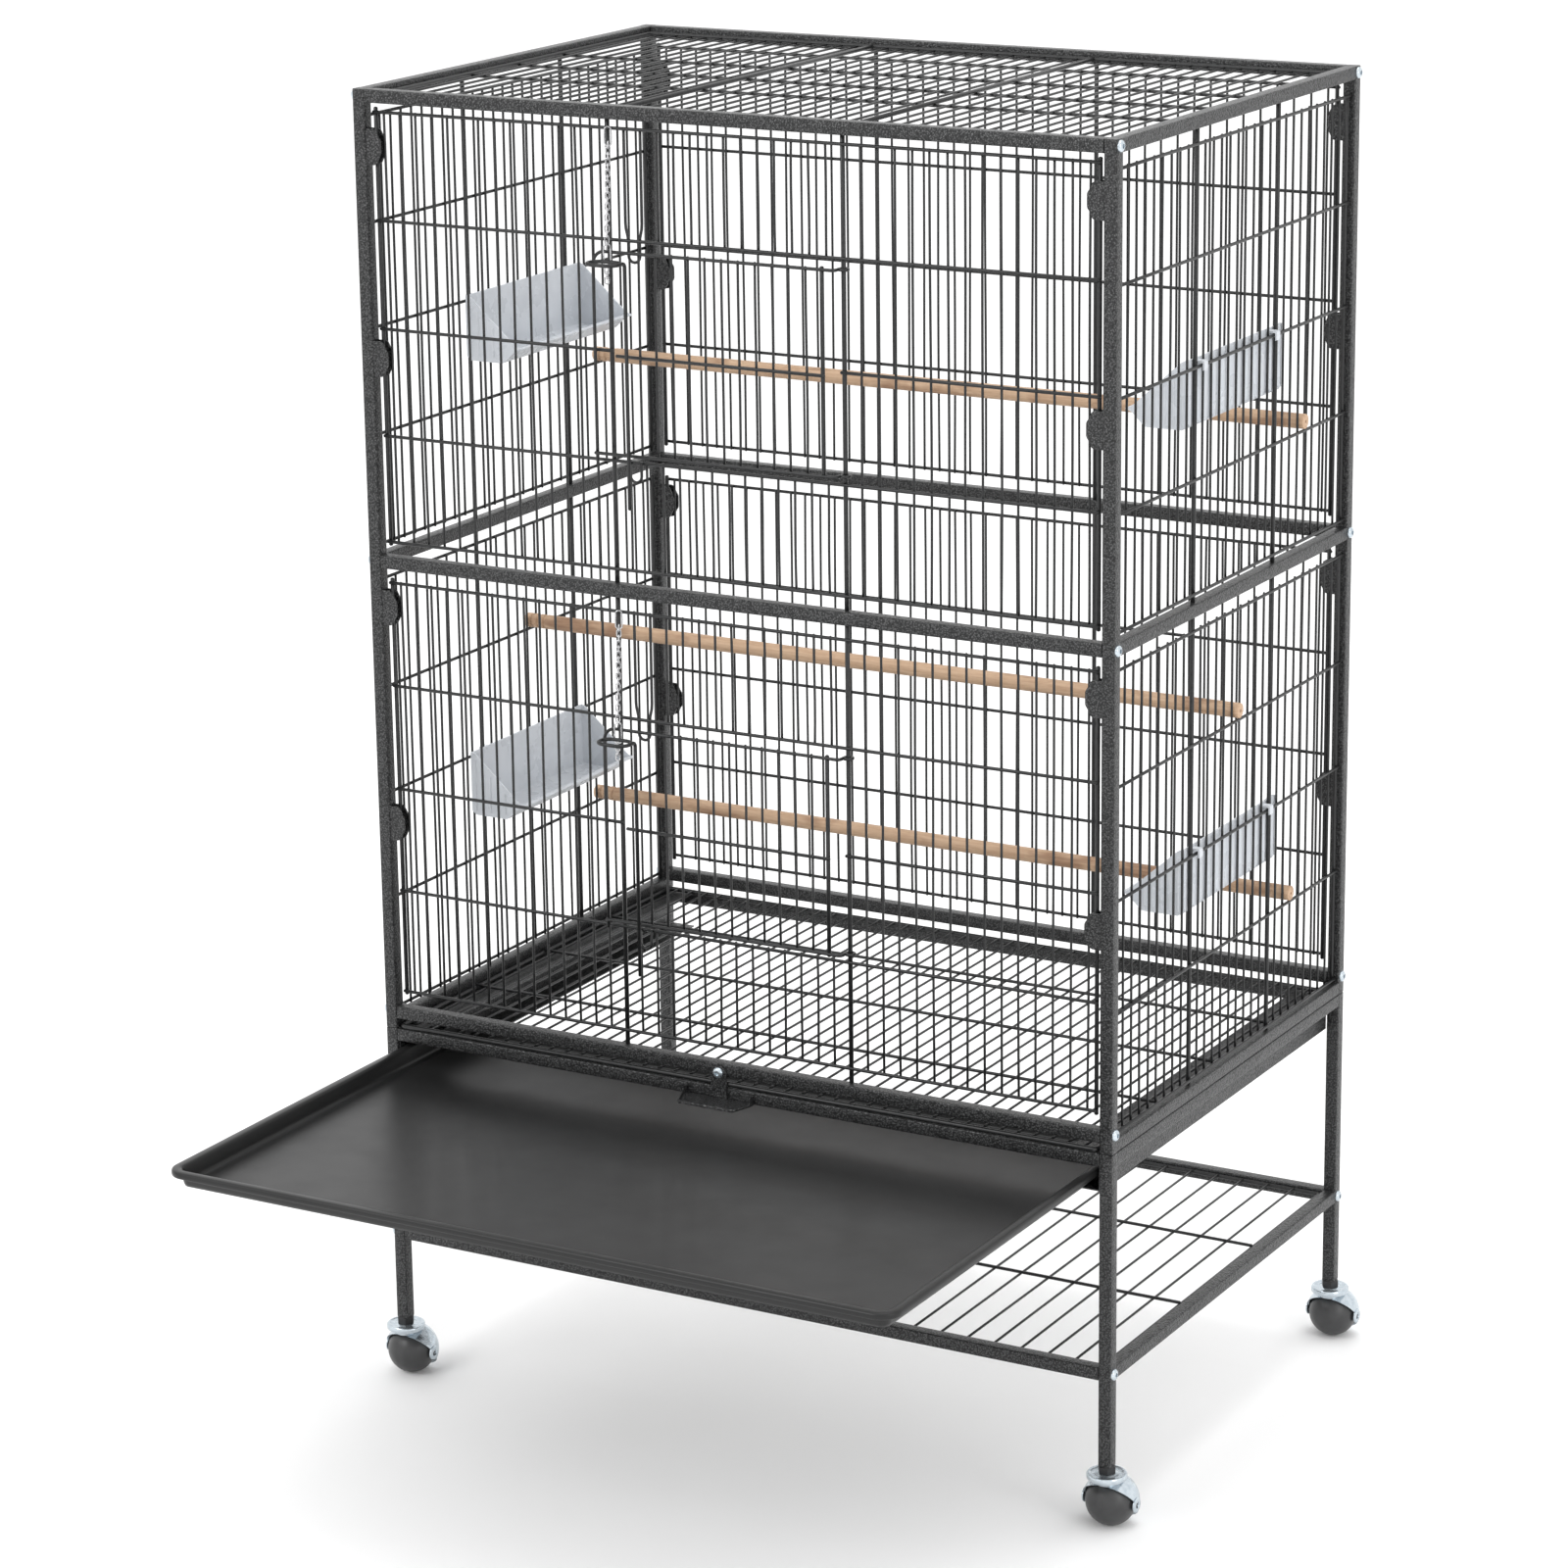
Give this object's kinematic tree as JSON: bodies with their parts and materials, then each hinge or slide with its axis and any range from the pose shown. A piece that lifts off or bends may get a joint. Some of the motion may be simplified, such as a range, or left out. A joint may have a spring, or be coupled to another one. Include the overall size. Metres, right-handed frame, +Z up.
{
  "type": "bird cage on stand",
  "caption": "Wire flight cage in an upper and a lower cell on a rolling stand, with front doors, slide-out tray, floor grate, hanging feeders, perches and a lower wire shelf",
  "frame": {"origin": "on the floor, under the middle of the outer box with the tray pulled out", "axes": "+Z up, +X to the right seen from the front, the doors and the tray face -Y"},
  "size_m": [0.8314, 0.9492, 1.29],
  "materials": {
    "frame": "hammered dark grey powder coat",
    "wire": "glossy dark grey coated wire",
    "tray": "smooth satin dark grey",
    "zinc": "zinc plated",
    "chain": "bright plated",
    "ball": "satin charcoal",
    "nut": "black oxide",
    "feeder": "translucent grey-white",
    "wood": "bare light dowel"
  },
  "bodies": {
    "cage": {"left_side_frame": "frame", "left_leg_frame": "frame", "left_tray_runner": "frame", "right_side_frame": "frame", "right_leg_frame": "frame", "right_tray_runner": "frame", "top_front_rail": "frame", "top_back_rail": "frame", "middle_front_rail": "frame", "middle_back_rail": "frame", "bottom_front_rail": "frame", "bottom_back_rail": "frame", "stand_front_rail": "frame", "stand_back_rail": "frame", "shelf_front_rail": "frame", "shelf_back_rail": "frame", "roof_panel": "wire", "lower_shelf": "wire", "grate": "wire", "upper_front_panel": "wire", "upper_back_panel": "wire", "upper_left_panel": "wire", "upper_right_panel": "wire", "upper_safety_chain": "chain", "lower_front_panel": "wire", "lower_back_panel": "wire", "lower_left_panel": "wire", "lower_right_panel": "wire", "lower_safety_chain": "chain", "grate_latch_screw": "zinc", "upper_perch": "wood", "middle_perch": "wood", "lower_perch": "wood", "front_left_caster_stem": "nut", "front_right_caster_stem": "nut", "back_left_caster_stem": "nut", "back_right_caster_stem": "nut"},
    "upper_door": {"upper_door": "wire"},
    "upper_latch": {"upper_door_latch": "wire"},
    "upper_left_feeder": {"upper_left_feeder": "feeder"},
    "upper_right_feeder": {"upper_right_feeder": "feeder"},
    "lower_door": {"lower_door": "wire"},
    "lower_latch": {"lower_door_latch": "wire"},
    "lower_left_feeder": {"lower_left_feeder": "feeder"},
    "lower_right_feeder": {"lower_right_feeder": "feeder"},
    "tray": {"tray": "tray"},
    "grate_latch": {"grate_latch": "frame"},
    "front_left_hood": {"front_left_caster_hood": "zinc", "front_left_caster_axle": "zinc"},
    "front_left_ball": {"front_left_caster_ball": "ball"},
    "front_right_hood": {"front_right_caster_hood": "zinc", "front_right_caster_axle": "zinc"},
    "front_right_ball": {"front_right_caster_ball": "ball"},
    "back_left_hood": {"back_left_caster_hood": "zinc", "back_left_caster_axle": "zinc"},
    "back_left_ball": {"back_left_caster_ball": "ball"},
    "back_right_hood": {"back_right_caster_hood": "zinc", "back_right_caster_axle": "zinc"},
    "back_right_ball": {"back_right_caster_ball": "ball"}
  },
  "joints": [
    {"name": "upper_door_hinge", "type": "hinge", "parent": "cage", "child": "upper_door", "pos_m": [0.12194, -0.076, 1.0625], "axis": [0, 0, 1], "range_deg": [0, 120]},
    {"name": "upper_latch_lift", "type": "slide", "parent": "upper_door", "child": "upper_latch", "axis": [0, 0, 1], "range_m": [0, 0.045]},
    {"name": "upper_left_feeder_lift", "type": "slide", "parent": "cage", "child": "upper_left_feeder", "axis": [0, 0, 1], "range_m": [0, 0.025]},
    {"name": "upper_right_feeder_lift", "type": "slide", "parent": "cage", "child": "upper_right_feeder", "axis": [0, 0, 1], "range_m": [0, 0.025]},
    {"name": "lower_door_hinge", "type": "hinge", "parent": "cage", "child": "lower_door", "pos_m": [0.12194, -0.076, 0.611], "axis": [0, 0, 1], "range_deg": [0, 120]},
    {"name": "lower_latch_lift", "type": "slide", "parent": "lower_door", "child": "lower_latch", "axis": [0, 0, 1], "range_m": [0, 0.045]},
    {"name": "lower_left_feeder_lift", "type": "slide", "parent": "cage", "child": "lower_left_feeder", "axis": [0, 0, 1], "range_m": [0, 0.025]},
    {"name": "lower_right_feeder_lift", "type": "slide", "parent": "cage", "child": "lower_right_feeder", "axis": [0, 0, 1], "range_m": [0, 0.025]},
    {"name": "tray_slide", "type": "slide", "parent": "cage", "child": "tray", "axis": [0, 1, 0], "range_m": [-0.06, 0.391]},
    {"name": "grate_latch_turn", "type": "hinge", "parent": "cage", "child": "grate_latch", "pos_m": [-0.0155, -0.0863, 0.382], "axis": [0, 1, 0], "range_deg": [-95, 95]},
    {"name": "front_left_swivel", "type": "hinge", "parent": "cage", "child": "front_left_hood", "pos_m": [-0.38865, -0.07865, 0.053], "axis": [0, 0, 1], "continuous": true},
    {"name": "front_left_roll", "type": "hinge", "parent": "front_left_hood", "child": "front_left_ball", "pos_m": [-0.38865, -0.06965, 0.024], "axis": [1, 0, 0], "continuous": true},
    {"name": "front_right_swivel", "type": "hinge", "parent": "cage", "child": "front_right_hood", "pos_m": [0.38865, -0.07865, 0.053], "axis": [0, 0, 1], "continuous": true},
    {"name": "front_right_roll", "type": "hinge", "parent": "front_right_hood", "child": "front_right_ball", "pos_m": [0.38865, -0.06965, 0.024], "axis": [1, 0, 0], "continuous": true},
    {"name": "back_left_swivel", "type": "hinge", "parent": "cage", "child": "back_left_hood", "pos_m": [-0.38865, 0.43865, 0.053], "axis": [0, 0, 1], "continuous": true},
    {"name": "back_left_roll", "type": "hinge", "parent": "back_left_hood", "child": "back_left_ball", "pos_m": [-0.38865, 0.44765, 0.024], "axis": [1, 0, 0], "continuous": true},
    {"name": "back_right_swivel", "type": "hinge", "parent": "cage", "child": "back_right_hood", "pos_m": [0.38865, 0.43865, 0.053], "axis": [0, 0, 1], "continuous": true},
    {"name": "back_right_roll", "type": "hinge", "parent": "back_right_hood", "child": "back_right_ball", "pos_m": [0.38865, 0.44765, 0.024], "axis": [1, 0, 0], "continuous": true}
  ]
}
